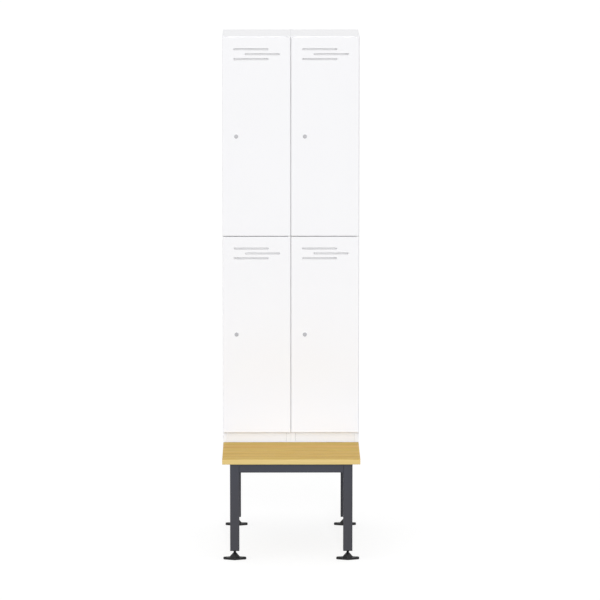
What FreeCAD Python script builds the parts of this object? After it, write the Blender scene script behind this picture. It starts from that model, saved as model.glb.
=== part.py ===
import FreeCAD, Part
import math
import os

# A steel clothes locker of two columns and two tiers on a tube bench with a slatted seat in front.
# Millimetres. The front faces -Y, +Z is up, and the origin is on the floor under the middle of the unit.

# Whole unit
unit_width = 600.0
seat_depth = 426.0
carcass_depth = 380.0
plinth_height = 66.0
tier_height = 875.0
tier_names = ("lower", "upper")
module_names = ("left", "right")

# Sheet metal of the carcass
sheet = 1.0
bend_radius = 1.0
front_flange = 20.0
front_lip = 15.0
rear_flange = 15.0
top_rim = 5.0
tray_side_drop = 12.0
top_front_drop = 30.0
shelf_front_drop = 25.0
floor_front_drop = 12.0
seam_clearance = 0.5

# Back sheet
back_rib_width = 24.0
back_rib_depth = 5.0
back_rib_slope = 5.0
back_rib_spacing = 170.0
back_foot_flange = 22.0
wall_hole_radius = 4.0
wall_hole_spacing = 80.0
wall_hole_drop = 60.0

# Plinth strip
plinth_recess = 2.0
plinth_top_return = 15.0
plinth_foot_return = 25.0

# Doors
door_depth = 20.0
door_side_gap = 1.5
door_end_gap = 3.0
door_back_gap = 2.0
door_lip = 14.0
door_edge_radius = 2.0
stiffener_width = 70.0
stiffener_crown = 36.0
stiffener_depth = 12.0
stiffener_flange = 14.0
stiffener_foot_margin = 40.0
stiffener_head_margin = 130.0

# Vent slots, measured from the door's left edge and top edge, each with a bridge pressed back behind it
slot_length = 154.0
slot_height = 7.5
slot_first_drop = 52.0
slot_pitch = 21.6
slot_left_inset = 48.0
slot_stagger = 50.0
slot_staggers = (0, 1, 0)
vent_bridge_depth = 6.0
vent_bridge_slope = 6.0

# Pivot hinges at the right edge of each door
hinge_inset = 6.25
tab_thickness = 1.5
tab_width = 9.0
tab_leg_length = 30.0
tab_slit_clearance = 0.4
pin_radius = 3.0
pin_reach = 11.0
pin_clearance = 0.05
bush_radius = 4.2
bush_length = 12.5
bush_flange_radius = 5.2
bush_play = 0.25

# Cam locks
lock_inset = 60.0
lock_height_share = 0.503
lock_face_radius = 9.0
lock_face_thickness = 2.0
lock_face_bevel = 0.8
barrel_radius = 8.0
barrel_nut_width = 22.0
barrel_nut_thickness = 5.0
plug_radius = 6.0
plug_clearance = 0.05
plug_recess = 0.4
cam_thickness = 2.0
cam_width = 16.0
cam_hub = 9.0
cam_corner = 4.0
cam_engagement = 10.0
cam_flange_gap = 1.5
cam_barrel_gap = 0.2
cam_slot_clearance = 2.0
cam_screw_radius = 4.5
cam_screw_thickness = 3.0

# Hanging rods
coat_rail_radius = 8.0
coat_rail_wall = 1.2
coat_rail_drop = 90.0
socket_flange_radius = 14.0
socket_flange_thickness = 2.0
socket_collar_radius = 10.0
socket_collar_length = 12.0

# Bolts between the modules and down into the bench
bolt_radius = 3.0
bolt_head_width = 10.0
bolt_head_thickness = 4.0
bolt_tail = 4.0
join_bolt_setback = 8.5
join_bolt_shares = (0.25, 0.75)
bench_bolt_setback = 16.0
bench_bolt_seam_margin = 90.0
bench_bolt_end_margin = 15.0

# Bench frame
bench_height = 423.0
side_inset = 35.0
front_overhang = 12.0
rear_inset = 7.0
leg_size = 40.0
rail_height = 38.0
tube_wall = 2.0
tube_round = 3.0

# Seat
slat_count = 6
slat_gap = 3.0
slat_thickness = 22.0
slat_end_inset = 1.5
slat_round = 1.5
slat_screw_radius = 2.5
slat_screw_clearance = 0.5
slat_screw_bite = 16.0
slat_screw_head_radius = 5.0
slat_screw_head_thickness = 3.0
front_screw_spacing = 300.0

# Adjustable feet
leg_clearance_height = 43.0
insert_flange = 3.0
insert_length = 28.0
insert_play = 0.2
stem_radius = 6.0
stem_clearance = 0.05
stem_reach = 45.0
stem_seat_height = 10.0
pad_ear_span = 82.0
pad_ear_radius = 9.0
pad_tip_reach = 24.0
pad_thickness = 10.0
boss_reach = 23.0
boss_ridge_radius = 4.0
boss_skirt = 13.0
boss_height = 29.0
neck_reach = 7.5
neck_ridge_radius = 6.0
floor_hole_radius = 4.0

# Every cut runs past its face by this much, and shorter edges than the least one are left out
overrun = 1.0
least_edge = 0.000001

# Places worked out from the sizes above
total_depth = seat_depth + carcass_depth
seat_front = -total_depth / 2
carcass_front = seat_front + seat_depth
carcass_back = total_depth / 2
module_width = unit_width / len(module_names)
bend_outer = bend_radius + sheet
tier_count = len(tier_names)
plinth_top = bench_height + plinth_height
plate_underside = plinth_top + tier_count * tier_height + tab_thickness / 2
plate_top = plate_underside + sheet
carcass_top = plate_top + sheet
door_front = carcass_front - door_back_gap - door_depth
door_width = module_width - door_side_gap
door_height = tier_height - door_end_gap
hinge_y = door_front + hinge_inset
cam_front = carcass_front + sheet + cam_flange_gap
lock_offset = door_side_gap / 2 + lock_inset
cam_length = lock_offset - front_flange + cam_engagement
back_sheet_front = carcass_back - sheet - sheet
rib_front = back_sheet_front - back_rib_depth
bush_flange_thickness = (door_end_gap - tab_thickness) / 2 - bush_play
tray_inner_inset = front_flange + seam_clearance
rail_underside = bench_height - rail_height
frame_half_width = unit_width / 2 - side_inset
leg_centre_x = frame_half_width - leg_size / 2
inner_half_width = frame_half_width - leg_size
front_leg_y = seat_front + front_overhang + leg_size / 2
rear_leg_y = carcass_back - rear_inset - leg_size / 2
slat_pitch = seat_depth / slat_count
slat_width = slat_pitch - slat_gap
slat_length = unit_width - 2 * slat_end_inset

os.makedirs("parts", exist_ok=True)
point = FreeCAD.Vector
up = point(0, 0, 1)
back = point(0, 1, 0)
across = point(1, 0, 0)


def module_left(module):
    """Left face of a locker module."""
    return -unit_width / 2 + module * module_width


def tier_floor(tier):
    """Level of the boundary under a tier; the boundary over the last tier carries the top hinge tabs."""
    return plinth_top + tier * tier_height


def export(name, *solids):
    """One node: a single solid, or a group of separate solids."""
    shape = solids[0] if len(solids) == 1 else Part.makeCompound(list(solids))
    shape.exportStep("parts/" + name + ".step")


def box(x_low, x_high, y_low, y_high, z_low, z_high):
    """Block between two corners."""
    return Part.makeBox(x_high - x_low, y_high - y_low, z_high - z_low, point(x_low, y_low, z_low))


def rod(radius, start, direction, length):
    """Round bar from a point, along a direction."""
    return Part.makeCylinder(radius, length, start, direction)


def hexagon_bar(width_across_flats, start, direction, length):
    """Six-sided bar from a point, along a direction."""
    first = direction.cross(back if direction.cross(back).Length > least_edge else across)
    second = direction.cross(first)
    radius = width_across_flats / math.sqrt(3)
    turns = [math.pi / 3 * step for step in range(6)]
    corners = [start + (first * math.cos(turn) + second * math.sin(turn)) * radius for turn in turns]
    return Part.Face(Part.makePolygon(corners + corners[:1])).extrude(direction * length)


def rounded_face(corners, radii):
    """Flat face through the corner points, each corner rounded by its own radius."""
    count = len(corners)
    arcs = []
    for index, radius in enumerate(radii):
        corner = corners[index]
        behind = (corners[index - 1] - corner).normalize()
        ahead = (corners[(index + 1) % count] - corner).normalize()
        half_angle = behind.getAngle(ahead) / 2
        inward = (behind + ahead).normalize()
        reach = radius / math.tan(half_angle)
        depth = radius / math.sin(half_angle) - radius
        arcs.append((corner + behind * reach, corner + inward * depth, corner + ahead * reach))
    edges = []
    for index, radius in enumerate(radii):
        start, middle, end = arcs[index]
        following = arcs[(index + 1) % count][0]
        if radius > 0:
            edges.append(Part.Arc(start, middle, end).toShape())
        if end.distanceToPoint(following) > least_edge:
            edges.append(Part.LineSegment(end, following).toShape())
    return Part.Face(Part.Wire(edges))


def prism_x(outline, radii, low, high):
    """Section drawn as (y, z) points, carried along X."""
    return rounded_face([point(low, y, z) for y, z in outline], radii).extrude(across * (high - low))


def prism_y(outline, radii, low, high):
    """Section drawn as (x, z) points, carried along Y."""
    return rounded_face([point(x, low, z) for x, z in outline], radii).extrude(back * (high - low))


def prism_z(outline, radii, low, high):
    """Section drawn as (x, y) points, carried along Z."""
    return rounded_face([point(x, y, low) for x, y in outline], radii).extrude(up * (high - low))


def rectangle(u_low, u_high, v_low, v_high):
    """Corner points of an upright rectangle."""
    return [(u_low, v_low), (u_high, v_low), (u_high, v_high), (u_low, v_high)]


def long_edges(shape, direction, y, z):
    """Edges that run along a direction at a height and depth, for folding and rounding."""
    found = []
    for edge in shape.Edges:
        first, last = edge.Vertexes[0].Point, edge.Vertexes[-1].Point
        lies_along = (last - first).cross(direction).Length < least_edge
        middle = (first + last) / 2
        if lies_along and abs(middle.y - y) < least_edge and abs(middle.z - z) < least_edge:
            found.append(edge)
    return found


# Side walls: a folded channel of web, front flange, return lip and rear flange, with a rim over the top.
# Hinge-side walls have slits for the pivot tabs, lock-side walls have slots in the lip where the cam goes in.


def side_panel(outer_x, turn, hinge_side, joined):
    """Wall whose outer face is at outer_x and whose flanges turn towards turn (+1 right, -1 left)."""

    def at(inset):
        return outer_x + turn * inset

    def slab(inset_low, inset_high, y_low, y_high, z_low, z_high):
        edges = sorted((at(inset_low), at(inset_high)))
        return box(edges[0], edges[1], y_low, y_high, z_low, z_high)

    front_inner = carcass_front + sheet
    back_inner = carcass_back - sheet
    lip_end = carcass_front + front_lip
    section = [
        (at(front_flange), lip_end),
        (at(front_flange), carcass_front),
        (at(0), carcass_front),
        (at(0), carcass_back),
        (at(rear_flange), carcass_back),
        (at(rear_flange), back_inner),
        (at(sheet), back_inner),
        (at(sheet), front_inner),
        (at(front_flange - sheet), front_inner),
        (at(front_flange - sheet), lip_end),
    ]
    folds = [0, bend_outer, bend_outer, bend_outer, 0, 0, bend_radius, bend_radius, bend_radius, 0]
    panel = prism_z(section, folds, bench_height, plate_underside)
    rim = [
        (at(0), plate_underside),
        (at(0), carcass_top),
        (at(top_rim), carcass_top),
        (at(top_rim), plate_top),
        (at(sheet), plate_top),
        (at(sheet), plate_underside),
    ]
    rim_folds = [0, bend_outer, 0, 0, 0, 0]
    panel = panel.fuse(prism_y(rim, rim_folds, carcass_front + bend_outer, carcass_back - bend_outer))
    panel = panel.removeSplitter()
    if hinge_side:
        tab_middle = door_side_gap / 2 + hinge_inset
        slit_half = tab_width / 2 + tab_slit_clearance
        slit_rise = tab_thickness / 2 + tab_slit_clearance
        for boundary in range(tier_count + 1):
            level = tier_floor(boundary)
            panel = panel.cut(slab(tab_middle - slit_half, tab_middle + slit_half, carcass_front - overrun,
                                   front_inner + overrun, level - slit_rise, level + slit_rise))
    else:
        lip_distance = lock_offset - front_flange
        entry = math.sqrt(cam_length ** 2 + (cam_width / 2) ** 2 - lip_distance ** 2)
        for tier in range(tier_count):
            level = lock_level(tier)
            slot_low = level - cam_width / 2 - cam_slot_clearance
            slot_high = level + entry + cam_slot_clearance
            slot_front = cam_front - cam_flange_gap
            slot_back = cam_front + cam_thickness + cam_slot_clearance
            panel = panel.cut(slab(front_flange - sheet - overrun, front_flange + overrun,
                                   slot_front, slot_back, slot_low, slot_high))
    if joined:
        for level in join_bolt_levels():
            hole_start = point(at(0) - turn * overrun, carcass_front + join_bolt_setback, level)
            panel = panel.cut(rod(bolt_radius, hole_start, across * turn, sheet + 2 * overrun))
    return panel


def lock_level(tier):
    """Height of a lock, near the door's middle."""
    return tier_floor(tier) + door_end_gap / 2 + lock_height_share * door_height


def join_bolt_levels():
    """Heights of the bolts between the two inner walls."""
    places = [(tier, share) for tier in range(tier_count) for share in join_bolt_shares]
    return [tier_floor(tier) + share * tier_height for tier, share in places]


last_module = len(module_names) - 1
for module, name in enumerate(module_names):
    left_x = module_left(module)
    right_x = left_x + module_width
    left_word = "_inner" if module > 0 else "_outer"
    right_word = "_inner" if module < last_module else "_outer"
    export("side_panel_" + name + left_word, side_panel(left_x, 1, False, module > 0))
    export("side_panel_" + name + right_word, side_panel(right_x, -1, True, module < last_module))


# Trays: top, divider shelf and floor, each a sheet with turned-down edges between the two walls of a module.


def tray(module, level, y_low, y_high, notch, front_drop):
    """Folded tray whose upper face is at a level; its front corners are notched round the walls' channels."""
    left = module_left(module)
    right = left + module_width
    web_left, web_right = left + sheet, right - sheet
    fold_left, fold_right = left + tray_inner_inset, right - tray_inner_inset
    notch_y = y_low + notch
    outline = [
        (fold_left, y_low),
        (fold_right, y_low),
        (fold_right, notch_y),
        (web_right, notch_y),
        (web_right, y_high),
        (web_left, y_high),
        (web_left, notch_y),
        (fold_left, notch_y),
    ]
    shape = prism_z(outline, [0] * len(outline), level - sheet, level)
    shape = shape.fuse([
        box(fold_left, fold_right, y_low, y_low + sheet, level - front_drop, level),
        box(web_left, web_left + sheet, notch_y, y_high, level - tray_side_drop, level),
        box(web_right - sheet, web_right, notch_y, y_high, level - tray_side_drop, level),
        box(web_left, web_right, y_high - sheet, y_high, level - tray_side_drop, level),
    ]).removeSplitter()
    return shape.makeFillet(bend_outer, long_edges(shape, across, y_low, level))


channel_notch = front_lip + seam_clearance
for module, name in enumerate(module_names):
    export("top_panel_" + name,
           tray(module, plate_top, carcass_front, back_sheet_front, bend_outer, top_front_drop))
    export("divider_shelf_" + name,
           tray(module, tier_floor(1), carcass_front, rib_front, channel_notch, shelf_front_drop))
    export("floor_panel_" + name,
           tray(module, plinth_top, carcass_front, rib_front, channel_notch, floor_front_drop))


# Back sheets: two pressed ribs stiffen each one, its foot turns forward onto the rear rail, and two holes
# near the top take wall screws.


def back_panel(module):
    """Ribbed sheet in front of the walls' rear flanges."""
    left = module_left(module) + bend_outer
    right = module_left(module) + module_width - bend_outer
    centre = (left + right) / 2
    rear = back_sheet_front + sheet
    crossing = [(left, 0)]
    for side in (-1, 1):
        rib = centre + side * back_rib_spacing / 2
        half = back_rib_width / 2
        crossing += [(rib - half, 0), (rib - half + back_rib_slope, back_rib_depth)]
        crossing += [(rib + half - back_rib_slope, back_rib_depth), (rib + half, 0)]
    crossing.append((right, 0))
    outline = [(x, rear - rise) for x, rise in crossing]
    outline += [(x, back_sheet_front - rise) for x, rise in reversed(crossing)]
    panel = prism_z(outline, [0] * len(outline), bench_height, plate_underside - tray_side_drop)
    foot = box(left, right, rear - back_foot_flange, rear, bench_height, bench_height + sheet)
    panel = panel.fuse(foot).removeSplitter()
    for side in (-1, 1):
        hole_x = centre + side * wall_hole_spacing / 2
        hole = point(hole_x, back_sheet_front - overrun, plate_top - wall_hole_drop)
        panel = panel.cut(rod(wall_hole_radius, hole, back, sheet + 2 * overrun))
    return panel


# Plinth strips: recessed channels between the front flanges, standing on the middle rail.


def plinth_panel(module):
    """Channel section carried along X, with holes in its foot for the bench bolts."""
    left = module_left(module) + tray_inner_inset
    right = module_left(module) + module_width - tray_inner_inset
    face = carcass_front + plinth_recess
    head = plinth_top - sheet
    section = [
        (face, bench_height),
        (face + plinth_foot_return, bench_height),
        (face + plinth_foot_return, bench_height + sheet),
        (face + sheet, bench_height + sheet),
        (face + sheet, head - sheet),
        (face + plinth_top_return, head - sheet),
        (face + plinth_top_return, head),
        (face, head),
    ]
    folds = [bend_outer, 0, 0, bend_radius, bend_radius, 0, 0, bend_outer]
    strip = prism_x(section, folds, left, right)
    for place in bench_bolt_places(module):
        strip = strip.cut(rod(bolt_radius, place - up * overrun, up, sheet + 2 * overrun))
    return strip


def bench_bolt_places(module):
    """Points on the rail's top face where a module is bolted down, near the seam and near the rail's end."""
    side = math.copysign(1, module_left(module) + module_width / 2)
    reaches = (bench_bolt_seam_margin, inner_half_width - bench_bolt_end_margin)
    return [point(side * reach, carcass_front + bench_bolt_setback, bench_height) for reach in reaches]


for module, name in enumerate(module_names):
    export("back_panel_" + name, back_panel(module))
    export("plinth_panel_" + name, plinth_panel(module))


# Pivot hinges: a bent tab comes out through a slit in the wall's flange at each boundary between doors and
# holds a pin; each door turns on flanged bushes on those pins.


def hinge_x(module):
    """Pivot line of a module's doors, near their right edge."""
    return module_left(module) + module_width - door_side_gap / 2 - hinge_inset


def hinge_tab(module, level):
    """Bent plate with a rounded nose round the pivot and a leg behind the front flange."""
    centre = hinge_x(module)
    half = tab_width / 2
    leg_front = carcass_front + sheet
    leg_back = leg_front + tab_thickness
    low, high = level - tab_thickness / 2, level + tab_thickness / 2
    nose_outline = rectangle(centre - half, centre + half, hinge_y - half, leg_back)
    nose = prism_z(nose_outline, [half, half, 0, 0], low, high)
    leg = box(centre - half, centre + half, leg_front, leg_back, low - tab_leg_length, high)
    tab = nose.fuse(leg).removeSplitter()
    tab = tab.makeFillet(tab_thickness, long_edges(tab, across, leg_back, high))
    return tab.cut(rod(pin_radius, point(centre, hinge_y, low - overrun), up, tab_thickness + 2 * overrun))


def hinge_pin(module, boundary):
    """Pin in a tab, reaching down into the door below and up into the door above."""
    half = tab_thickness / 2
    low = tier_floor(boundary) - half - (pin_reach if boundary > 0 else 0)
    high = tier_floor(boundary) + half + (pin_reach if boundary < tier_count else 0)
    return rod(pin_radius, point(hinge_x(module), hinge_y, low), up, high - low)


modules = range(len(module_names))
pivots = [(module, boundary) for module in modules for boundary in range(tier_count + 1)]
export("hinge_tabs", *[hinge_tab(module, tier_floor(boundary)) for module, boundary in pivots])
export("hinge_pins", *[hinge_pin(module, boundary) for module, boundary in pivots])


# Doors: a deep-folded pan with a round hinge edge and bridged vent slots, a hat stiffener, pivot bushes and a
# cam lock.


def door_panel(left, foot):
    """Pan made by hollowing a rounded block and opening its back inside the return lips."""
    right, rear, head = left + door_width, door_front + door_depth, foot + door_height
    outer_radii = [door_edge_radius, hinge_inset, 0, 0]
    shape = prism_z(rectangle(left, right, door_front, rear), outer_radii, foot, head)
    front_edges = [edge for edge in shape.Edges if edge.BoundBox.ZLength < least_edge
                   and edge.BoundBox.YMax < rear - least_edge]
    shape = shape.makeFillet(door_edge_radius, front_edges)
    inner_radii = [door_edge_radius - sheet, hinge_inset - sheet, 0, 0]
    hollow = prism_z(rectangle(left + sheet, right - sheet, door_front + sheet, rear - sheet), inner_radii,
                     foot + sheet, head - sheet)
    mouth = box(left + door_lip, right - door_lip, rear - sheet - overrun, rear + overrun,
                foot + door_lip, head - door_lip)
    shape = shape.cut([hollow, mouth])
    pivot = point(right - hinge_inset, hinge_y, foot - overrun)
    bush_holes = rod(bush_radius, pivot, up, door_height + 2 * overrun)
    lock_hole = rod(barrel_radius, lock_point(left, foot, door_front - overrun), back, sheet + 2 * overrun)
    vents = [vent(left, head, index) for index in range(len(slot_staggers))]
    shape = shape.cut([bush_holes, lock_hole] + [slot for slot, bridge in vents])
    return shape.fuse([bridge for slot, bridge in vents]).removeSplitter()


def vent(left, head, index):
    """Cutter for one long slot, and its strip of sheet, pressed back into a bridge from end to end of it.

    The middle slot is staggered to the right.
    """
    start = left + slot_left_inset + slot_staggers[index] * slot_stagger
    end = start + slot_length
    low = head - slot_first_drop - index * slot_pitch - slot_height / 2
    high = low + slot_height
    crest = door_front + vent_bridge_depth
    face = [(start, door_front), (start + vent_bridge_slope, crest)]
    face += [(end - vent_bridge_slope, crest), (end, door_front)]
    outline = face + [(x, y + sheet) for x, y in reversed(face)]
    bridge = prism_z(outline, [0] * len(outline), low, high)
    return box(start, end, door_front - overrun, door_front + sheet + overrun, low, high), bridge


def lock_point(left, foot, y):
    """Point on a lock's axis."""
    return point(left + lock_inset, y, foot + lock_height_share * door_height)


def door_stiffener(left, foot):
    """Hat section welded behind the front sheet."""
    centre = left + door_width / 2
    seat = door_front + sheet
    crest = seat + stiffener_depth
    flank = stiffener_width / 2 - stiffener_flange
    crown = stiffener_crown / 2
    edge = stiffener_width / 2
    outer = [(-edge, seat), (-flank, seat), (-crown + sheet, crest - sheet), (crown - sheet, crest - sheet),
             (flank, seat), (edge, seat)]
    inner = [(edge, seat + sheet), (flank + sheet, seat + sheet), (crown, crest), (-crown, crest),
             (-flank - sheet, seat + sheet), (-edge, seat + sheet)]
    outline = [(centre + x, y) for x, y in outer + inner]
    return prism_z(outline, [0] * len(outline), foot + stiffener_foot_margin,
                   foot + door_height - stiffener_head_margin)


def hinge_bush(pivot, direction):
    """Flanged sleeve pushed into the door's end wall, seen from the door's end at pivot."""
    flange_face = pivot - direction * bush_flange_thickness
    flange = rod(bush_flange_radius, flange_face, direction, bush_flange_thickness)
    sleeve = rod(bush_radius, pivot, direction, bush_length)
    bore_length = bush_flange_thickness + bush_length + 2 * overrun
    bore = rod(pin_radius + pin_clearance, flange_face - direction * overrun, direction, bore_length)
    return flange.fuse(sleeve).removeSplitter().cut(bore)


def lock_barrel(left, foot):
    """Lock housing with its round face in front of the door and its hexagon nut behind the sheet."""
    face_start = lock_point(left, foot, door_front - lock_face_thickness)
    seat = lock_point(left, foot, door_front)
    face = rod(lock_face_radius, face_start, back, lock_face_thickness)
    rim = [edge for edge in face.Edges if edge.BoundBox.YMax < door_front - least_edge]
    face = face.makeChamfer(lock_face_bevel, rim)
    body_length = cam_front - cam_barrel_gap - door_front
    bore = rod(plug_radius + plug_clearance, face_start - back * overrun, back,
               lock_face_thickness + body_length + 2 * overrun)
    housing = face.fuse(rod(barrel_radius, seat, back, body_length)).removeSplitter().cut(bore)
    nut = hexagon_bar(barrel_nut_width, seat + back * sheet, back, barrel_nut_thickness)
    nut = nut.cut(rod(barrel_radius, seat, back, sheet + barrel_nut_thickness + overrun))
    return housing, nut


def lock_cylinder(left, foot):
    """Turning plug with its cam pointing up, which is unlocked, and the screw that holds the cam."""
    axis = lock_point(left, foot, cam_front)
    plug_start = door_front - lock_face_thickness + plug_recess
    plug = rod(plug_radius, lock_point(left, foot, plug_start), back, cam_front - plug_start)
    outline = rectangle(axis.x - cam_width / 2, axis.x + cam_width / 2, axis.z - cam_hub, axis.z + cam_length)
    radii = [cam_width / 2, cam_width / 2, cam_corner, cam_corner]
    cam = prism_y(outline, radii, cam_front, cam_front + cam_thickness)
    screw = rod(cam_screw_radius, axis + back * cam_thickness, back, cam_screw_thickness)
    return plug, cam, screw


for tier, tier_name in enumerate(tier_names):
    for module, module_name in enumerate(module_names):
        door_name = tier_name + "_" + module_name
        left = module_left(module) + door_side_gap / 2
        foot = tier_floor(tier) + door_end_gap / 2
        pivot_foot = point(hinge_x(module), hinge_y, foot)
        pivot_head = pivot_foot + up * door_height
        export("door_panel_" + door_name, door_panel(left, foot))
        export("door_stiffener_" + door_name, door_stiffener(left, foot))
        export("hinge_bushes_" + door_name, hinge_bush(pivot_foot, up), hinge_bush(pivot_head, -up))
        export("lock_barrel_" + door_name, *lock_barrel(left, foot))
        export("lock_cylinder_" + door_name, *lock_cylinder(left, foot))


# Hanging rods: one tube to a compartment, held in a flanged socket on each wall.


def coat_rail(module, tier):
    """Tube from wall to wall and its two sockets."""
    left = module_left(module) + sheet
    right = module_left(module) + module_width - sheet
    ceiling = tier_floor(tier + 1) - sheet
    depth = carcass_front + carcass_depth / 2
    start = point(left, depth, ceiling - coat_rail_drop)
    end = point(right, depth, ceiling - coat_rail_drop)
    length = right - left
    core = rod(coat_rail_radius - coat_rail_wall, start - across * overrun, across, length + 2 * overrun)
    tube = rod(coat_rail_radius, start, across, length)
    sockets = []
    for seat, direction in ((start, across), (end, -across)):
        flange = rod(socket_flange_radius, seat, direction, socket_flange_thickness)
        collar = rod(socket_collar_radius, seat, direction, socket_collar_length)
        sockets.append(flange.fuse(collar).removeSplitter().cut(tube))
    return tube.cut(core), sockets


coat_rails = [coat_rail(module, tier) for module in modules for tier in range(tier_count)]
export("coat_rails", *[tube for tube, sockets in coat_rails])
export("coat_rail_sockets", *[socket for tube, sockets in coat_rails for socket in sockets])


# Bolts: some join the two inner walls inside their front channels, others hold the plinth to the middle rail.


def bolt(seat, direction, grip):
    """Bolt with its head on the seat, a shank through the grip and a tail with a nut."""
    head_face = seat - direction * bolt_head_thickness
    head = hexagon_bar(bolt_head_width, head_face, direction, bolt_head_thickness)
    shank = rod(bolt_radius, seat, direction, grip)
    nut = hexagon_bar(bolt_head_width, seat + direction * grip, direction, bolt_tail)
    return head.fuse([shank, nut]).removeSplitter()


join_seat_x = module_left(last_module) - sheet
join_seats = [point(join_seat_x, carcass_front + join_bolt_setback, level) for level in join_bolt_levels()]
bench_seats = [place + up * sheet for module in modules for place in bench_bolt_places(module)]
export("locker_bolts", *[bolt(seat, across, 2 * sheet) for seat in join_seats],
       *[bolt(seat, -up, sheet + tube_wall) for seat in bench_seats])


# Bench frame: square tube legs with rails butted between them; the middle rail carries the locker's front.


def tube_section(u_low, u_high, v_low, v_high):
    """Outer and inner outlines of a tube with rounded corners."""
    outer = rectangle(u_low, u_high, v_low, v_high)
    inner = rectangle(u_low + tube_wall, u_high - tube_wall, v_low + tube_wall, v_high - tube_wall)
    return outer, [tube_round] * len(outer), inner, [tube_round - tube_wall] * len(inner)


def tube(prism, section, low, high):
    """Hollow bar carried along the direction of its prism function."""
    outer, outer_radii, inner, inner_radii = section
    return prism(outer, outer_radii, low, high).cut(prism(inner, inner_radii, low - overrun, high + overrun))


def leg(x, y):
    """Upright tube from above its foot to under the seat or locker."""
    half = leg_size / 2
    section = tube_section(x - half, x + half, y - half, y + half)
    return tube(prism_z, section, leg_clearance_height, bench_height)


def cross_rail(y_middle, half_length):
    """Rail across the bench."""
    half = leg_size / 2
    section = tube_section(y_middle - half, y_middle + half, rail_underside, bench_height)
    return tube(prism_x, section, -half_length, half_length)


leg_places = {
    "front_left": (-leg_centre_x, front_leg_y),
    "front_right": (leg_centre_x, front_leg_y),
    "rear_left": (-leg_centre_x, rear_leg_y),
    "rear_right": (leg_centre_x, rear_leg_y),
}
for name, (x, y) in leg_places.items():
    export("leg_" + name, leg(x, y))


# Seat: loose slats across the side rails, screwed from below; the front slat is screwed to the front rail.


def slat_middle(index):
    """Middle of a slat, counted from the front."""
    return seat_front + index * slat_pitch + slat_width / 2


def slat_screw_places(index):
    """Points on the rails' top faces where a slat is screwed down."""
    if slat_middle(index) - slat_screw_head_radius < front_leg_y + leg_size / 2:
        return [point(side * front_screw_spacing / 2, front_leg_y, bench_height) for side in (-1, 1)]
    return [point(side * leg_centre_x, slat_middle(index), bench_height) for side in (-1, 1)]


def seat_slat(index):
    """Board with rounded arrises and blind pilot holes in its underside."""
    middle = slat_middle(index)
    half_length = slat_length / 2
    board = box(-half_length, half_length, middle - slat_width / 2, middle + slat_width / 2,
                bench_height, bench_height + slat_thickness)
    board = board.makeFillet(slat_round, board.Edges)
    pilots = [rod(slat_screw_radius, place, up, slat_screw_bite) for place in slat_screw_places(index)]
    return board.cut(pilots)


def slat_screw(place):
    """Screw up through both walls of a rail into a slat."""
    underside = place - up * rail_height
    head_face = underside - up * slat_screw_head_thickness
    head = rod(slat_screw_head_radius, head_face, up, slat_screw_head_thickness)
    return head.fuse(rod(slat_screw_radius, underside, up, rail_height + slat_screw_bite)).removeSplitter()


screw_places = [place for index in range(slat_count) for place in slat_screw_places(index)]


def drilled(rail):
    """Rail with clear holes for the slat screws that pass through it."""
    reach = rail_height + 2 * overrun
    low = rail_underside - overrun
    radius = slat_screw_radius + slat_screw_clearance
    return rail.cut([rod(radius, point(place.x, place.y, low), up, reach) for place in screw_places])


middle_rail_y = carcass_front + leg_size / 2
export("rail_front", drilled(cross_rail(front_leg_y, inner_half_width)))
export("rail_rear", cross_rail(rear_leg_y, inner_half_width))
bolt_holes = [rod(bolt_radius, place - up * (tube_wall + overrun), up, tube_wall + 2 * overrun)
              for module in modules for place in bench_bolt_places(module)]
export("rail_middle", cross_rail(middle_rail_y, inner_half_width).cut(bolt_holes))
for name, side in (("left", -1), ("right", 1)):
    x = side * leg_centre_x
    section = tube_section(x - leg_size / 2, x + leg_size / 2, rail_underside, bench_height)
    front_end, rear_end = front_leg_y + leg_size / 2, rear_leg_y - leg_size / 2
    export("rail_" + name, drilled(tube(prism_y, section, front_end, rear_end)))
for index in range(slat_count):
    export("seat_slat_" + str(index + 1), seat_slat(index))
export("slat_screws", *[slat_screw(place) for place in screw_places])


# Adjustable feet: a plug closes each leg and takes a threaded stem, which stands in a ridged pad with two
# ears for floor screws.


def leg_insert(x, y):
    """Square plug with a flange under the leg and a bore for the stem."""
    half = leg_size / 2
    snug = half - tube_wall - insert_play
    flange = prism_z(rectangle(x - half, x + half, y - half, y + half), [tube_round] * 4,
                     leg_clearance_height - insert_flange, leg_clearance_height)
    plug = prism_z(rectangle(x - snug, x + snug, y - snug, y + snug), [tube_round - tube_wall] * 4,
                   leg_clearance_height, leg_clearance_height + insert_length)
    bore = rod(stem_radius + stem_clearance, point(x, y, leg_clearance_height - insert_flange - overrun), up,
               insert_flange + insert_length + 2 * overrun)
    return flange.fuse(plug).removeSplitter().cut(bore)


def diamond_face(middle, reach_x, reach_y, radius):
    """Rhombus with rounded corners, which reach these distances from its middle."""
    span_x, span_y = reach_x - radius, reach_y - radius
    lean = math.atan2(span_x, span_y)
    corner_x = across * (span_x + radius / math.cos(lean))
    corner_y = back * (span_y + radius / math.sin(lean))
    corners = [middle + corner_x, middle + corner_y, middle - corner_x, middle - corner_y]
    return rounded_face(corners, [radius] * len(corners))


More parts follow.
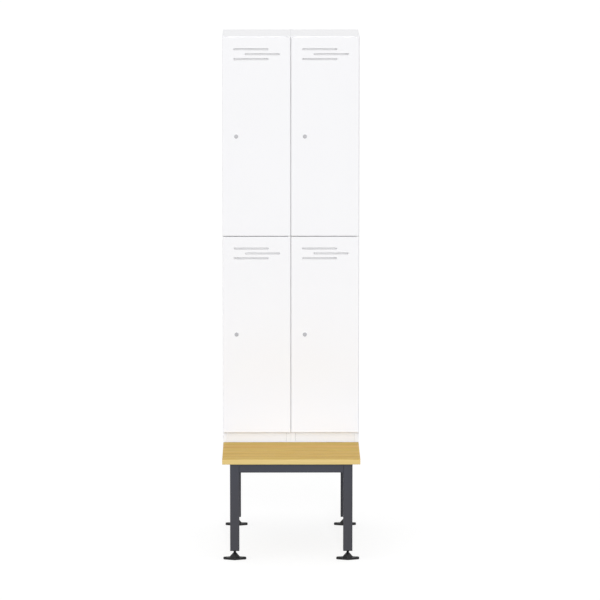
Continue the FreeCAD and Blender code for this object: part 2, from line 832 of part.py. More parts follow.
def foot(x, y):
    """Moulded pad with two ears and a four-sided boss up to a neck, and the stem that stands in it."""
    middle = point(x, y, 0)
    ear_reach = pad_ear_span / 2 + pad_ear_radius
    pad = diamond_face(middle, ear_reach, pad_tip_reach, pad_ear_radius).extrude(up * pad_thickness)
    skirt = diamond_face(middle, boss_reach, boss_reach, boss_ridge_radius).extrude(up * boss_skirt)
    boss_foot = diamond_face(middle + up * boss_skirt, boss_reach, boss_reach, boss_ridge_radius)
    boss_neck = diamond_face(middle + up * boss_height, neck_reach, neck_reach, neck_ridge_radius)
    boss = Part.makeLoft([boss_foot.OuterWire, boss_neck.OuterWire], True, True)
    pad = pad.fuse([skirt, boss]).removeSplitter()
    stem_length = leg_clearance_height + stem_reach - stem_seat_height
    stem = rod(stem_radius, middle + up * stem_seat_height, up, stem_length)
    holes = [rod(floor_hole_radius, middle + across * (side * pad_ear_span / 2) - up * overrun, up,
                 pad_thickness + 2 * overrun) for side in (-1, 1)]
    return pad.cut(holes + [stem]), stem


export("leg_inserts", *[leg_insert(x, y) for x, y in leg_places.values()])
for name, (x, y) in leg_places.items():
    export("foot_" + name, *foot(x, y))
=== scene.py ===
import math

import bpy
import numpy as np
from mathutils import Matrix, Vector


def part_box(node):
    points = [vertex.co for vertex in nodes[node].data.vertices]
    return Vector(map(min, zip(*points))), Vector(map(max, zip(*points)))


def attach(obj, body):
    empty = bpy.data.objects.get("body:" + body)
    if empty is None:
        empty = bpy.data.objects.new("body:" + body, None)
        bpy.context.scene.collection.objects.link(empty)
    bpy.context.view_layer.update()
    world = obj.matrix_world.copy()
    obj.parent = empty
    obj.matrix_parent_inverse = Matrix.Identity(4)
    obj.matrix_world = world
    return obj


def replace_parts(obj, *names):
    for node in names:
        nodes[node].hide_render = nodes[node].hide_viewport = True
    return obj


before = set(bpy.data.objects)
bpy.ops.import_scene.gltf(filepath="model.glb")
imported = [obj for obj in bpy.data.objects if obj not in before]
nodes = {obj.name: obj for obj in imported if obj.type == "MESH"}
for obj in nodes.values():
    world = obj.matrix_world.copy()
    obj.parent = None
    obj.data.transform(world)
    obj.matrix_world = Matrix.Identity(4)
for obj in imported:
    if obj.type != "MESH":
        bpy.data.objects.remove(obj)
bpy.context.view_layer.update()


# Bench frame: four square steel tube legs with rails butted between them under the seat and the locker, and
# rippled weld beads along the joints. The whole frame is powder coated in anthracite, a matt paint with a
# fine dense grain.

mm = 0.001


class Wire:
    """A socket of a finish's node tree. Sums and products of wires add the Math nodes that work them out."""

    def __init__(self, finish, socket):
        self.finish = finish
        self.socket = socket

    def math(self, operation, first, second):
        """Result of a Math node on two values."""
        return self.finish.node("Math", {"operation": operation}, {0: first, 1: second})

    def output(self, name):
        """Another output of the same node."""
        return Wire(self.finish, self.socket.node.outputs[name])

    def swing(self, reach):
        """Noise, which lies about a half, as a change to either side of nothing."""
        return reach * (self - 0.5)

    def __add__(self, other):
        return self.math("ADD", self, other)

    def __sub__(self, other):
        return self.math("SUBTRACT", self, other)

    def __rsub__(self, other):
        return self.math("SUBTRACT", other, self)

    def __mul__(self, other):
        return self.math("MULTIPLY", self, other)

    def __truediv__(self, other):
        return self.math("DIVIDE", self, other)

    def __pow__(self, other):
        return self.math("POWER", self, other)

    def __mod__(self, other):
        return self.math("FLOORED_MODULO", self, other)

    __radd__ = __add__
    __rmul__ = __mul__


class Finish:
    """A surface finish, or the studio's light: one node tree, whose nodes all come from node()."""

    def __init__(self, owner):
        self.owner = owner
        owner.use_nodes = True
        self.tree = owner.node_tree
        self.tree.nodes.clear()

    def node(self, kind, settings=None, sockets=None, out=0):
        """Adds a node of a type, applies its settings, then gives its sockets their values or links."""
        made = self.tree.nodes.new("ShaderNode" + kind)
        for key, value in (settings or {}).items():
            setattr(made, key, value)
        for key, value in (sockets or {}).items():
            if isinstance(value, Wire):
                self.tree.links.new(value.socket, made.inputs[key])
            else:
                made.inputs[key].default_value = value
        return Wire(self, made.outputs[out]) if len(made.outputs) else None

    def mix(self, share, first, second):
        """Colour between two colours."""
        return self.node("Mix", {"data_type": "RGBA"}, {0: share, 6: first, 7: second}, out=2)

    def surface(self, **sockets):
        """Ends the tree with the shader that light falls on."""
        named = {key.replace("_", " "): value for key, value in sockets.items()}
        self.node("OutputMaterial", {}, {"Surface": self.node("BsdfPrincipled", {}, named)})


def swatch(red, green, blue):
    """Colour as it looks on a screen, 0 to 255 each, turned into the light that it sends back."""
    seen = np.array([red, green, blue]) / 255
    sent = np.where(seen <= 0.04045, seen / 12.92, ((seen + 0.055) / 1.055) ** 2.4)
    return (*sent.tolist(), 1.0)


def powder_coat(name, dark, light, grain, depth, roughness, sheen):
    """Baked paint: a slow mottle between two shades, and a fine peel in the relief and the roughness."""
    peel_roughness = 0.16
    coat = Finish(bpy.data.materials.new(name))
    place = coat.node("TexCoord", out="Object")
    mottle = coat.node("TexNoise", {}, {"Vector": place, "Scale": 2.2, "Detail": 3.0})
    peel = coat.node("TexNoise", {}, {"Vector": place, "Scale": 1 / grain, "Detail": 2.0, "Roughness": 0.6})
    relief = coat.node("Bump", {}, {"Strength": 0.5, "Distance": depth, "Height": peel})
    coat.surface(Base_Color=coat.mix(mottle, dark, light), Roughness=roughness + peel.swing(peel_roughness),
                 Normal=relief, Specular_IOR_Level=sheen)
    return coat


def dress(finish, *names):
    """Gives CAD nodes a finish."""
    for name in names:
        surfaces = nodes[name].data.materials
        surfaces.clear()
        surfaces.append(finish.owner)


corners = ("front_left", "front_right", "rear_left", "rear_right")
rails = ("front", "rear", "left", "right", "middle")
anthracite = powder_coat("anthracite_coat", swatch(59, 59, 65), swatch(66, 66, 72), grain=0.9 * mm,
                         depth=0.12 * mm, roughness=0.5, sheen=0.25)
dress(anthracite, *["leg_" + corner for corner in corners])
dress(anthracite, *["rail_" + rail for rail in rails])


def extent(node):
    """Low and high corners of a CAD node's box."""
    return np.array(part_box(node))


def skin(name, rings, body, finish, sharp=40):
    """Closed mesh over rings of points: each ring is joined to the next point by point and closed on itself,
    and a fan to its own middle closes each end ring. Several stacks of rings make one mesh of several shells.
    A mesh without a body is a cutter."""
    stacks = rings.reshape(-1, *rings.shape[-3:])
    shells, count, around = stacks.shape[:3]
    middles = stacks[:, [0, -1]].mean(axis=2)
    points = np.concatenate([stacks.reshape(shells, -1, 3), middles], axis=1)
    here = np.arange(count * around).reshape(count, around)
    there = np.roll(here, -1, axis=1)
    walls = np.stack([here[:-1], there[:-1], there[1:], here[1:]], axis=-1).reshape(-1, 4)
    low_fan = np.stack([there[0], here[0], np.full(around, count * around)], axis=-1)
    high_fan = np.stack([here[-1], there[-1], np.full(around, count * around + 1)], axis=-1)
    triangles = np.concatenate([walls[:, :3], walls[:, [0, 2, 3]], low_fan, high_fan])
    first, second, third = (points[0][triangles[:, index]] for index in range(3))
    turn = 1 if np.einsum("ij,ij->", first, np.cross(second, third)) > 0 else -1
    faces = []
    for shell in range(shells):
        for part in (walls, low_fan, high_fan):
            faces += (part[:, ::turn] + shell * points.shape[1]).tolist()
    mesh = bpy.data.meshes.new(name)
    mesh.from_pydata(points.reshape(-1, 3).tolist(), [], faces)
    piece = bpy.data.objects.new(name, mesh)
    bpy.context.scene.collection.objects.link(piece)
    finished(piece, finish, sharp)
    if body:
        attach(piece, body)
    return piece


def finished(piece, finish, sharp):
    """Smooth shading with sharp edges above an angle, and the piece's finish."""
    piece.data.shade_smooth()
    piece.data.set_sharp_from_angle(angle=math.radians(sharp))
    piece.data.materials.clear()
    piece.data.materials.append(finish.owner)


def at_heights(outlines, heights):
    """Rings from outlines in a plane, each lifted to its own height."""
    lifted = np.broadcast_to(np.array(heights)[:, None, None], (*np.shape(outlines)[:2], 1))
    return np.concatenate([np.array(outlines), lifted], axis=2)


bead_size = 3.6 * mm
bead_sunk = 0.6 * mm
bead_length = 31 * mm
bead_pitch = 2.6 * mm
bead_swell_share = 0.16
bead_end_share = 0.35


def bead_rings(corner, first, second):
    """Weld bead in the corner between two faces, which leave it along two directions: a quarter round, whose
    radius swells and falls with each ripple of the weld and shrinks at both ends."""
    ripple_steps = 8
    arc_steps = 7
    along = np.linspace(0, bead_length, ripple_steps * int(bead_length / bead_pitch))
    ripple = 1 + bead_swell_share * np.abs(np.sin(math.pi * along / bead_pitch))
    fade = np.clip(np.minimum(along, bead_length - along) / bead_size, bead_end_share, 1)
    turn = np.linspace(0, math.pi / 2, arc_steps)
    arc = (bead_size * ripple * fade)[:, None, None] * np.stack([np.cos(turn), np.sin(turn)], axis=1)
    root = np.zeros((len(along), 1, 2))
    rings = at_heights(np.concatenate([root, arc], axis=1) - bead_sunk, along - bead_length / 2)
    return rings @ np.array([first, second, np.cross(first, second)]) + corner


# Level beads run under the rails' ends at the legs, and upright ones beside the cross rails' ends.
rail_boxes = {rail: extent("rail_" + rail) for rail in rails}
welds = []
for end in (-1, 1):
    for rail in ("front", "rear"):
        low, high = rail_boxes[rail]
        welds.append(bead_rings((end * high[0], (low + high)[1] / 2, low[2]), (-end, 0, 0), (0, 0, -1)))
    for rail in ("left", "right"):
        low, high = rail_boxes[rail]
        butt = high[1] if end > 0 else low[1]
        welds.append(bead_rings(((low + high)[0] / 2, butt, low[2]), (0, -end, 0), (0, 0, -1)))
    for rail, face, way in (("front", 1, 1), ("middle", 0, -1), ("middle", 1, 1), ("rear", 0, -1)):
        low, high = rail_boxes[rail]
        corner = (end * high[0], rail_boxes[rail][face][1], (low + high)[2] / 2)
        welds.append(bead_rings(corner, (-end, 0, 0), (0, way, 0)))
skin("frame_welds", np.array(welds), "locker", anthracite, 50)


# Adjustable feet: a black moulded pad with two screw ears and a four-sided boss, which holds a blackened
# steel stem. The stem's thread turns in a black plug that closes the leg, and so levels the unit.


def drilled(piece, finish, sharp, *cutters):
    """Takes the cutters away from a piece, for holes that no grid of the piece follows."""
    for cutter in cutters:
        cut = piece.modifiers.new("hole", "BOOLEAN")
        cut.operation = "DIFFERENCE"
        cut.object = cutter
    view = piece.evaluated_get(bpy.context.evaluated_depsgraph_get())
    mesh = bpy.data.meshes.new_from_object(view)
    piece.modifiers.clear()
    piece.data = mesh
    finished(piece, finish, sharp)
    for cutter in cutters:
        bpy.data.objects.remove(cutter)


def rounded_diamond(reach_x, reach_y, radius, steps):
    """Outline of a rhombus with round corners: a circle carried round the rhombus whose corners lie one
    radius inside the reaches. Its points follow the turn of the outward normal."""
    span_x, span_y = reach_x - radius, reach_y - radius
    lean = math.atan2(span_x, span_y)
    share = np.linspace(0, 1, steps)
    side_turn, end_turn = math.pi - 2 * lean, 2 * lean
    turns = [-lean + end_turn * share, lean + side_turn * share]
    turns += [turn + math.pi for turn in turns]
    turns = np.concatenate(turns)
    corner = np.repeat([[span_x, 0], [0, span_y], [-span_x, 0], [0, -span_y]], steps, axis=0)
    return corner + radius * np.stack([np.cos(turns), np.sin(turns)], axis=1)


def circles(radii, steps):
    """Outlines of circles of these radii."""
    turn = np.arange(steps) * 2 * math.pi / steps
    return np.array(radii)[:, None, None] * np.stack([np.cos(turn), np.sin(turn)], axis=1)


def moulded(name, colour, roughness):
    """Moulded plastic: a spark-eroded grain in the relief, and scuffs in the colour and the roughness."""
    scuff_lift = 1.35
    scuff_roughness = 0.2
    plastic = Finish(bpy.data.materials.new(name))
    place = plastic.node("TexCoord", out="Object")
    grain = plastic.node("TexNoise", {}, {"Vector": place, "Scale": 1400.0, "Detail": 2.0})
    scuff = plastic.node("TexNoise", {}, {"Vector": place, "Scale": 60.0, "Detail": 4.0})
    relief = plastic.node("Bump", {}, {"Strength": 0.6, "Distance": 0.1 * mm, "Height": grain})
    lighter = tuple(scuff_lift * part for part in colour[:3]) + (1.0,)
    plastic.surface(Base_Color=plastic.mix(scuff, colour, lighter),
                    Roughness=roughness + scuff.swing(scuff_roughness),
                    Normal=relief, Specular_IOR_Level=0.35)
    return plastic


def steel(name, colour, roughness, streak):
    """Plated or blackened steel: a cloudy colour, and fine lines of the tool in the relief and the roughness.
    The lines are a noise that is drawn out where its streak, in waves to the metre, is small."""
    cloud_shade = 0.8
    line_roughness = 0.2
    metal = Finish(bpy.data.materials.new(name))
    place = metal.node("TexCoord", out="Object")
    stretched = metal.node("Mapping", {}, {"Vector": place, "Scale": streak})
    lines = metal.node("TexNoise", {}, {"Vector": stretched, "Scale": 1.0, "Detail": 3.0})
    cloud = metal.node("TexNoise", {}, {"Vector": place, "Scale": 90.0, "Detail": 3.0})
    darker = tuple(cloud_shade * part for part in colour[:3]) + (1.0,)
    relief = metal.node("Bump", {}, {"Strength": 0.3, "Distance": 0.05 * mm, "Height": lines})
    metal.surface(Base_Color=metal.mix(cloud, darker, colour),
                  Roughness=roughness + lines.swing(line_roughness), Metallic=1.0, Normal=relief)
    return metal


pad_thickness = 10 * mm
pad_tip_reach = 24 * mm
pad_edge = 1.2 * mm
ear_radius = 9 * mm
ear_span = 82 * mm
floor_hole = 4 * mm
countersink = 6.6 * mm
countersink_depth = 2.6 * mm
cut_below = 2 * mm
cut_above = 1 * mm
boss_reach = 21.6 * mm
boss_ridge = 4 * mm
boss_fillet = 1.0 * mm
boss_skirt = 13 * mm
boss_height = 29 * mm
neck_reach = 7.6 * mm
neck_ridge = 6 * mm
neck_edge = 0.6 * mm
stem_radius = 6 * mm
stem_sunk = 1 * mm
thread_pitch = 1.75 * mm
thread_depth = 0.8 * mm
thread_flank_share = 0.36
thread_crest_share = 0.2
black_plastic = moulded("black_moulded_plastic", swatch(17, 17, 19), roughness=0.36)
black_steel = steel("blackened_steel", swatch(52, 52, 54), roughness=0.42, streak=(200, 200, 2500))


def pad_rings(pad_reach):
    """Levels of the pad from the floor up: a rounded edge, the flat of the ears, a fillet, and the boss,
    whose reach and ridges change in proportion to the height up to its neck."""
    edge_steps = 4
    boss_steps = 7
    corner_steps = 9
    ease = np.linspace(0, math.pi / 2, edge_steps)
    fall, rise = 1 - np.cos(ease), np.sin(ease)
    low_edge = [(pad_edge * low, pad_edge * (1 - side)) for low, side in zip(fall, rise)]
    top_edge = [(pad_thickness - pad_edge * (1 - side), pad_edge * low) for low, side in zip(fall, rise)]
    levels = [(height, pad_reach - inset, pad_tip_reach - inset, ear_radius - inset)
              for height, inset in low_edge + top_edge]
    for low, side in zip(fall, rise):
        reach = boss_reach + boss_fillet * (1 - side)
        levels.append((pad_thickness + boss_fillet * low, reach, reach, boss_ridge))
    for share in np.linspace(0, 1, boss_steps):
        reach = boss_reach + (neck_reach - boss_reach) * share
        ridge = boss_ridge + (neck_ridge - boss_ridge) * share
        levels.append((boss_skirt + (boss_height - boss_skirt) * share, reach, reach, ridge))
    tip = neck_reach - neck_edge
    levels.append((boss_height + neck_edge, tip, tip, neck_ridge - neck_edge))
    outlines = [rounded_diamond(*shape, corner_steps) for _, *shape in levels]
    return at_heights(outlines, [level[0] for level in levels])


def thread_rings(low, high):
    """Stem with a thread: its radius falls from the crest by a trapezium wave of the height in pitches, less
    the part of a turn, so that the groove climbs one pitch to a turn."""
    around = 32
    pitch_steps = 8
    heights = np.linspace(low, high, int((high - low) / thread_pitch * pitch_steps))
    turn = np.arange(around) / around
    wave = (heights[:, None] / thread_pitch - turn[None, :]) % 1
    groove = np.clip((0.5 - np.abs(wave - 0.5)) / thread_flank_share - thread_crest_share, 0, 1)
    radius = stem_radius - thread_depth * groove
    side = np.stack([radius * np.cos(2 * math.pi * turn), radius * np.sin(2 * math.pi * turn)], axis=2)
    return at_heights(side, heights)


hole_heights = (-cut_below, pad_thickness - countersink_depth, pad_thickness, pad_thickness + cut_above)
hole_radii = (floor_hole, floor_hole, countersink, countersink)
ear_hole = at_heights(circles(hole_radii, 32), hole_heights)
for corner in corners:
    foot = "foot_" + corner
    low, high = extent(foot)
    middle = (low + high) / 2 * (1, 1, 0)
    rings = pad_rings((high - low)[0] / 2) + middle
    pad = skin("foot_pad_" + corner, rings, foot, black_plastic)
    holes = [ear_hole + middle + (side * ear_span / 2, 0, 0) for side in (-1, 1)]
    drilled(pad, black_plastic, 40, *[skin("ear_hole", hole, None, black_plastic) for hole in holes])
    thread = thread_rings(boss_height - stem_sunk, high[2])
    skin("foot_stem_" + corner, thread + middle, foot, black_steel, 60)
    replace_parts(pad, foot)
dress(black_plastic, "leg_inserts")


# Seat: six planed softwood slats laid across the frame with narrow gaps, arrises rounded, clear lacquered.
# Two zinc plated pan-head screws from below hold each slat, the front one to the front rail and the others to
# the side rails.


def rounded_oblong(half_u, half_v, radius, steps):
    """Rectangle with round corners: a quarter circle about each corner of an inner rectangle."""
    quarter = math.pi / 2
    turns = np.concatenate([np.linspace(start, start + quarter, steps) for start in np.arange(4) * quarter])
    signs = np.repeat([[1, 1], [-1, 1], [-1, -1], [1, -1]], steps, axis=0)
    inner = signs * (half_u - radius, half_v - radius)
    return inner + radius * np.stack([np.cos(turns), np.sin(turns)], axis=1)


def block_rings(half_u, half_v, length, radius):
    """Bar with every arris rounded: its outline shrinks along a quarter circle towards each end, where its
    corners keep a trace of their round."""
    steps = 6
    shrink_share = 0.97
    ease = np.linspace(math.pi / 2, 0, steps)
    insets = radius * (1 - np.cos(ease)) * shrink_share
    heights = radius * (1 - np.sin(ease))
    insets = np.concatenate([insets, insets[::-1]])
    heights = np.concatenate([heights, length - heights[::-1]])
    outlines = [rounded_oblong(half_u - inset, half_v - inset, radius - inset, steps) for inset in insets]
    return at_heights(outlines, heights)


slat_round = 1.5 * mm
slat_count = 6
# The fourth trait masks painted light on the seat's front edge, the fifth painted shade in the gaps.
board_traits = ("board", "pith", "tint", "painted_light_mask", "painted_shade_mask")
board_tints = (0.3, 0.45, 0.4, 0.25, 0.95, 0.0)
pith_height = 360 * mm
pith_reach = 45 * mm
ring_width = 5.5 * mm
ring_wander = 20 * mm
straw, honey = swatch(209, 181, 88), swatch(219, 178, 101)
late_wood, pores = swatch(186, 141, 62), swatch(168, 124, 54)
# Paler copy of the wood for the seat's front edge: painted light where the front light falls.
painted_light_early, painted_light_late = swatch(235, 207, 137), swatch(211, 174, 98)
# Dark brown for the edges in the gaps between boards: painted shade.
painted_gap_shade = swatch(112, 78, 36)


def lacquered_softwood():
    """Sawn board: rings about a pith below the board, bent by a slow wander, shaded from pale early wood to a
    thin dark line of late wood; short dark pores along the grain and a clear lacquer over all. Painted light
    makes the seat's front edge paler, and painted shade darkens the edges in the gaps between boards."""
    tint_share = 0.75
    late_share = 0.36
    # Late wood within the painted light of the front edge, and the strength of the painted shade in the gaps.
    painted_light_late_share = 0.4
    painted_shade_share = 0.8
    pore_share = 0.26
    late_rise = 0.6
    lacquer_roughness = 0.55
    fibre_roughness = 0.16
    wood = Finish(bpy.data.materials.new("lacquered_softwood"))
    traits = [wood.node("Attribute", {"attribute_name": trait}, out="Fac") for trait in board_traits]
    board, pith, tint, painted_light_mask, painted_shade_mask = traits
    place = wood.node("TexCoord", out="Object")
    shift = wood.node("CombineXYZ", {}, {"X": board * 1.7, "Y": board * 0.31, "Z": board * 0.17})
    moved = wood.node("VectorMath", {"operation": "ADD"}, {0: place, 1: shift})
    along = wood.node("Mapping", {}, {"Vector": moved, "Scale": (2.2, 9.0, 9.0)})
    wander = wood.node("TexNoise", {}, {"Vector": along, "Scale": 1.0, "Detail": 3.0, "Distortion": 0.2})
    axes = wood.node("SeparateXYZ", {}, {"Vector": place})
    pith_y = axes.output("Y") - pith
    pith_z = axes.output("Z") - pith_height
    distance = (pith_y * pith_y + pith_z * pith_z) ** 0.5 + wander.swing(ring_wander)
    ring = (distance / ring_width) % 1.0
    late = wood.node("MapRange", {"interpolation_type": "SMOOTHSTEP"},
                     {"Value": ring, "From Min": 0.3, "From Max": 0.92})
    drawn = wood.node("Mapping", {}, {"Vector": moved, "Scale": (12.0, 900.0, 900.0)})
    fibre = wood.node("TexNoise", {}, {"Vector": drawn, "Scale": 1.0, "Detail": 3.0})
    blotch = wood.node("TexNoise", {}, {"Vector": along, "Scale": 0.6, "Detail": 2.0})
    early = wood.mix(tint * tint_share + blotch * (1 - tint_share), straw, honey)
    aged = wood.mix(late * late_share, early, late_wood)
    painted_light_wood = wood.mix(late * painted_light_late_share, painted_light_early, painted_light_late)
    # Painted light on the seat's front edge, and painted shade on the edges in the gaps between boards.
    ringed = wood.mix(painted_shade_mask * painted_shade_share, wood.mix(painted_light_mask, aged, painted_light_wood), painted_gap_shade)
    grained = wood.mix((1 - fibre) * pore_share, ringed, pores)
    height = fibre + late_rise * late
    relief = wood.node("Bump", {}, {"Strength": 0.35, "Distance": 0.12 * mm, "Height": height})
    wood.surface(Base_Color=grained, Roughness=lacquer_roughness + fibre.swing(fibre_roughness),
                 Normal=relief, Specular_IOR_Level=0.15)
    return wood


pith_offsets = np.random.default_rng(7).uniform(-pith_reach, pith_reach, slat_count)
softwood = lacquered_softwood()
for index in range(slat_count):
    node = "seat_slat_" + str(index + 1)
    low, high = extent(node)
    half = (high - low) / 2
    bar = block_rings(half[1], half[2], 2 * half[0], slat_round)[:, :, [2, 0, 1]]
    bar = bar + (low + high) / 2 - (half[0], 0, 0)
    slat = skin("slat_" + str(index + 1), bar, "locker", softwood)
    middle_y = (low + high)[1] / 2
    points = np.empty(3 * len(slat.data.vertices))
    slat.data.vertices.foreach_get("co", points)
    across = points[1::3] - middle_y
    edge = np.clip((np.abs(across) - half[1] + slat_round) / slat_round, 0, 1)
    # Mask of painted light: the front edge of the first slat.
    painted_light_mask = edge * (across < 0) * (index == 0)
    # The other edges, in the gaps between boards, mask painted shade.
    values = (index + 1, middle_y + pith_offsets[index], board_tints[index], painted_light_mask, edge - painted_light_mask)
    for trait, value in zip(board_traits, values):
        layer = slat.data.attributes.new(trait, "FLOAT", "POINT")
        layer.data.foreach_set("value", np.broadcast_to(value, across.shape).astype(np.float32))
    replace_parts(slat, node)


def screw_rings(head_radius, head_height, shank_radius, shank_length):
    """Pan-head screw pointing up: a domed head below, which falls off with the fourth power of the radius,
    with a cross of two soft-walled arms pressed into it, and a plain shank."""
    around = 40
    dome_share = 0.35
    arm_length, arm_width = 0.55, 0.13
    recess_share = 0.55
    wall_start, wall_width = 1.25, 0.5
    rim_share = 0.15
    bearing_share = 0.98
    ring = np.linspace(0.06, 1, 12)
    dome = circles(head_radius * ring, around)
    sag = head_height * (dome_share * ring ** 4)[:, None] * np.ones(around)
    across, down = np.abs(dome[:, :, 0]) / head_radius, np.abs(dome[:, :, 1]) / head_radius
    level_arm = np.maximum(across / arm_length, down / arm_width)
    upright_arm = np.maximum(across / arm_width, down / arm_length)
    cross = np.minimum(level_arm, upright_arm)
    recess = recess_share * head_height * np.clip((wall_start - cross) / wall_width, 0, 1)
    face = np.concatenate([dome, (-head_height + sag + recess)[:, :, None]], axis=2)
    radii = [head_radius, head_radius * bearing_share, shank_radius, shank_radius]
    rest = at_heights(circles(radii, around), [-rim_share * head_height, 0, 0, shank_length])
    return np.concatenate([face, rest])


front_screw_spacing = 300 * mm
zinc = steel("zinc_plate", swatch(206, 208, 210), roughness=0.3, streak=(300, 300, 300))
screw = screw_rings(head_radius=5 * mm, head_height=3 * mm, shank_radius=2.5 * mm, shank_length=54 * mm)
rail_middles = {rail: rail_boxes[rail].mean(axis=0) for rail in rails}
slat_middles = [extent("seat_slat_" + str(index + 1)).mean(axis=0) for index in range(slat_count)]
screw_places = [(side * front_screw_spacing / 2, rail_middles["front"][1]) for side in (-1, 1)]
for middle in slat_middles[1:]:
    screw_places += [(rail_middles[rail][0], middle[1]) for rail in ("left", "right")]
rail_underside = rail_boxes["left"][0][2]
screws = np.array([screw + (x, y, rail_underside) for x, y in screw_places])
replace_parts(skin("seat_screws", screws, "locker", zinc, 50), "slat_screws")


# Locker carcass: two columns of folded steel sheet bolted side by side, each with side walls, a top, a
# divider shelf, a floor, a ribbed back and a plinth strip, spot welded and powder coated white with a satin
# sheen.

white_coat = powder_coat("white_coat", swatch(243, 243, 245), swatch(246, 246, 248), grain=1.6 * mm,
                         depth=0.05 * mm, roughness=0.42, sheen=0.4)
columns = ("left", "right")
for column in columns:
    for sheet in ("top_panel_", "divider_shelf_", "floor_panel_", "back_panel_", "plinth_panel_"):
        dress(white_coat, sheet + column)
for wall in ("left_outer", "left_inner", "right_inner", "right_outer"):
    dress(white_coat, "side_panel_" + wall)
dress(zinc, "locker_bolts")


# Hanging rods: a chromed steel tube across each compartment for coat hangers, held at both walls in a black
# plastic socket with a flange.

rod_chrome = steel("bright_rod", swatch(214, 216, 219), roughness=0.16, streak=(6, 1500, 1500))
dress(rod_chrome, "coat_rails")
dress(black_plastic, "coat_rail_sockets")


# Pivot hinges: bent steel tabs painted with the carcass, bright zinc pins, and pale nylon bushes pressed into
# the ends of the doors.

nylon = moulded("natural_nylon", swatch(226, 225, 219), roughness=0.45)
doors = [tier + "_" + column for tier in ("lower", "upper") for column in columns]
dress(white_coat, "hinge_tabs")
dress(zinc, "hinge_pins")
dress(nylon, *["hinge_bushes_" + door for door in doors])


# Doors: deep folded pans of white coated sheet with three vent slots at the top and a hat-section stiffener
# spot welded behind.

dress(white_coat, *["door_panel_" + door for door in doors])
dress(white_coat, *["door_stiffener_" + door for door in doors])


# Cam locks: a nickel plated housing clamped through the door by a hexagon nut; its plug has a keyway, turns
# with the key, and carries a steel cam held by a domed screw.


def facing_front(rings, axis):
    """Turns rings that were made upwards so that up is towards the front, at a lock's axis."""
    return rings[:, :, [0, 2, 1]] * (1, -1, 1) + axis


plug_radius = 5.95 * mm
plug_bevel = 0.4 * mm
keyway_half_width = 0.9 * mm
keyway_half_height = 3.6 * mm
keyway_depth = 4 * mm
cam_thickness = 2 * mm
cam_edge = 0.4 * mm
cam_corner = 4 * mm
cam_screw_height = 3 * mm
nickel = steel("satin_nickel", swatch(194, 194, 197), roughness=0.28, streak=(900, 60, 900))


def plug_rings(length):
    """Round plug whose front face is sunk by the keyway: a slot with soft walls, deepest in its middle."""
    around = 96
    wall_start, wall_width = 1.15, 0.3
    ring = np.concatenate([np.linspace(0.04, 0.94, 16), [1.0]])
    face = circles(plug_radius * ring, around)
    slot = np.maximum(np.abs(face[:, :, 0]) / keyway_half_width, np.abs(face[:, :, 1]) / keyway_half_height)
    sunk = keyway_depth * np.clip((wall_start - slot) / wall_width, 0, 1)
    bevel = plug_bevel * (ring >= 1.0)[:, None]
    front = np.concatenate([face, (length - sunk - bevel)[:, :, None]], axis=2)
    rear = at_heights(circles([plug_radius / 2, plug_radius], around), [0, 0])
    return np.concatenate([rear, front[::-1]])


cam_screw = screw_rings(head_radius=4.5 * mm, head_height=cam_screw_height, shank_radius=2 * mm,
                        shank_length=1 * mm)
for door in doors:
    body = "lock_" + door
    low, high = extent("lock_cylinder_" + door)
    axis_x, _, axis_z = extent("lock_barrel_" + door).mean(axis=0)
    cam_back = high[1] - cam_screw_height
    cam_front = cam_back - cam_thickness
    plug = facing_front(plug_rings(cam_front - low[1]), (axis_x, cam_front, axis_z))
    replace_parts(skin("lock_plug_" + door, plug, body, nickel, 30), "lock_cylinder_" + door)
    half_width, _, half_height = (high - low) / 2
    outlines = [rounded_oblong(half_width - inset, half_height - inset, cam_corner, 8)
                for inset in (cam_edge, 0, 0, cam_edge)]
    cam = at_heights(outlines, [0, cam_edge, cam_thickness - cam_edge, cam_thickness])
    cam = facing_front(cam, (axis_x, cam_back, (low + high)[2] / 2))
    skin("lock_cam_" + door, cam, body, zinc)
    head = facing_front(cam_screw, (axis_x, cam_back, axis_z))
    skin("lock_cam_screw_" + door, head, body, zinc, 50)
    dress(nickel, "lock_barrel_" + door)


# Studio: a white floor that keeps the unit's soft shadow, an even white surround, a light from the front and
# a broad one from the upper left. A flat cool beam evens out the warm light that the seat throws on the
# plinth and the foot of the doors.

ambient = 0.66
floor_shade = 0.5
floor_seen_shade = 0.28
floor_lift = 0.78
floor_reach = 200.0


def seen_directly(finish):
    """One where the camera looks, also in a mirror or through glass, and nothing for other light."""
    looks = finish.node("LightPath", out="Is Camera Ray")
    return looks + looks.output("Is Glossy Ray") + looks.output("Is Transmission Ray")


studio = Finish(bpy.data.worlds.new("studio"))
glow = ambient + (1 - ambient) * seen_directly(studio)
sky = studio.node("Background", {}, {"Color": (1, 1, 1, 1), "Strength": glow})
studio.node("OutputWorld", {}, {"Surface": sky})
bpy.context.scene.world = studio.owner

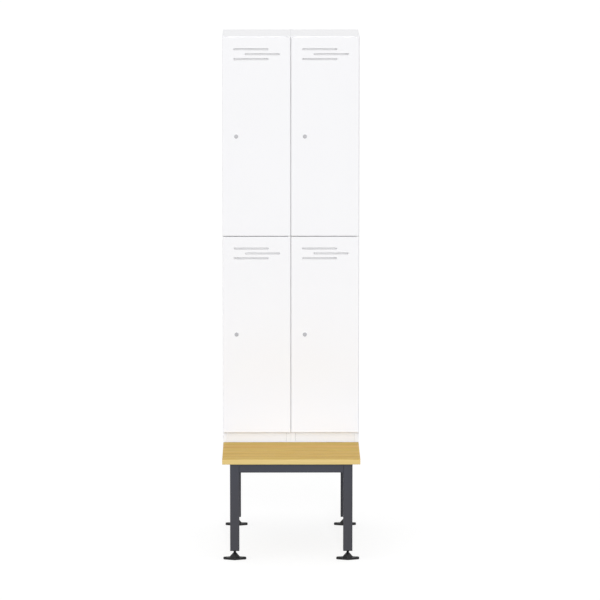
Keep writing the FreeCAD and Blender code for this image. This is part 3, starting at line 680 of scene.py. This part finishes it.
floor_paint = Finish(bpy.data.materials.new("studio_floor"))
plain, faint = (floor_paint.node("BsdfDiffuse", {}, {"Color": (shade, shade, shade, 1)})
                for shade in (floor_shade, floor_seen_shade))
lift = floor_paint.node("Emission", {}, {"Color": (1, 1, 1, 1), "Strength": floor_lift})
pale = floor_paint.node("AddShader", {}, {0: faint, 1: lift})
floor_shader = floor_paint.node("MixShader", {}, {0: seen_directly(floor_paint), 1: plain, 2: pale})
floor_paint.node("OutputMaterial", {}, {"Surface": floor_shader})
floor_mesh = bpy.data.meshes.new("studio_floor")
floor_corners = [(x * floor_reach, y * floor_reach, 0) for x, y in ((-1, -1), (1, -1), (1, 1), (-1, 1))]
floor_mesh.from_pydata(floor_corners, [], [(0, 1, 2, 3)])
floor_mesh.materials.append(floor_paint.owner)
floor = bpy.data.objects.new("studio_floor", floor_mesh)
bpy.context.scene.collection.objects.link(floor)


def broad_light(name, strength, spread, height, side):
    """Light from far off, spread over an angle. It comes from a height above level, and from the right of the
    front where side is positive; all three angles are in degrees."""
    lamp = bpy.data.lights.new(name, "SUN")
    lamp.energy = strength
    lamp.angle = math.radians(spread)
    light = bpy.data.objects.new(name, lamp)
    light.rotation_euler = (math.radians(90 - height), 0, math.radians(side))
    bpy.context.scene.collection.objects.link(light)


broad_light("front_light", strength=1.27, spread=6, height=17, side=2)
broad_light("top_light", strength=0.48, spread=60, height=62, side=-30)

cool_lamp = bpy.data.lights.new("cool_fill", "SPOT")
cool_lamp.energy = 110
cool_lamp.color = (0.05, 0.42, 1.0)
cool_lamp.spot_size = math.radians(15)
cool_lamp.spot_blend = 1.0
cool_lamp.shadow_soft_size = 0.2
cool_fill = bpy.data.objects.new("cool_fill", cool_lamp)
cool_fill.location = (0, -4.0, 0.8)
cool_fill.rotation_euler = (math.radians(85.1), 0, 0)
cool_fill.scale = (1, 0.42, 1)
bpy.context.scene.collection.objects.link(cool_fill)


# Camera: a long lens at the photograph's height and distance, far in front of the unit, tilted down a little
# and turned a trace to the right.

image_width = 600
focal_pixels = 4062.7
camera_tilt = 0.14516
camera_turn = 0.00512
lens = bpy.data.cameras.new("camera")
lens.sensor_width = 36.0
lens.lens = focal_pixels / image_width * lens.sensor_width
lens.clip_end = 1000.0
camera = bpy.data.objects.new("camera", lens)
camera.location = (-0.0507, -17.659, 3.664)
camera.rotation_euler = (math.pi / 2 - camera_tilt, 0, -camera_turn)
bpy.context.scene.collection.objects.link(camera)
bpy.context.scene.camera = camera
bpy.context.scene.view_settings.view_transform = "Standard"
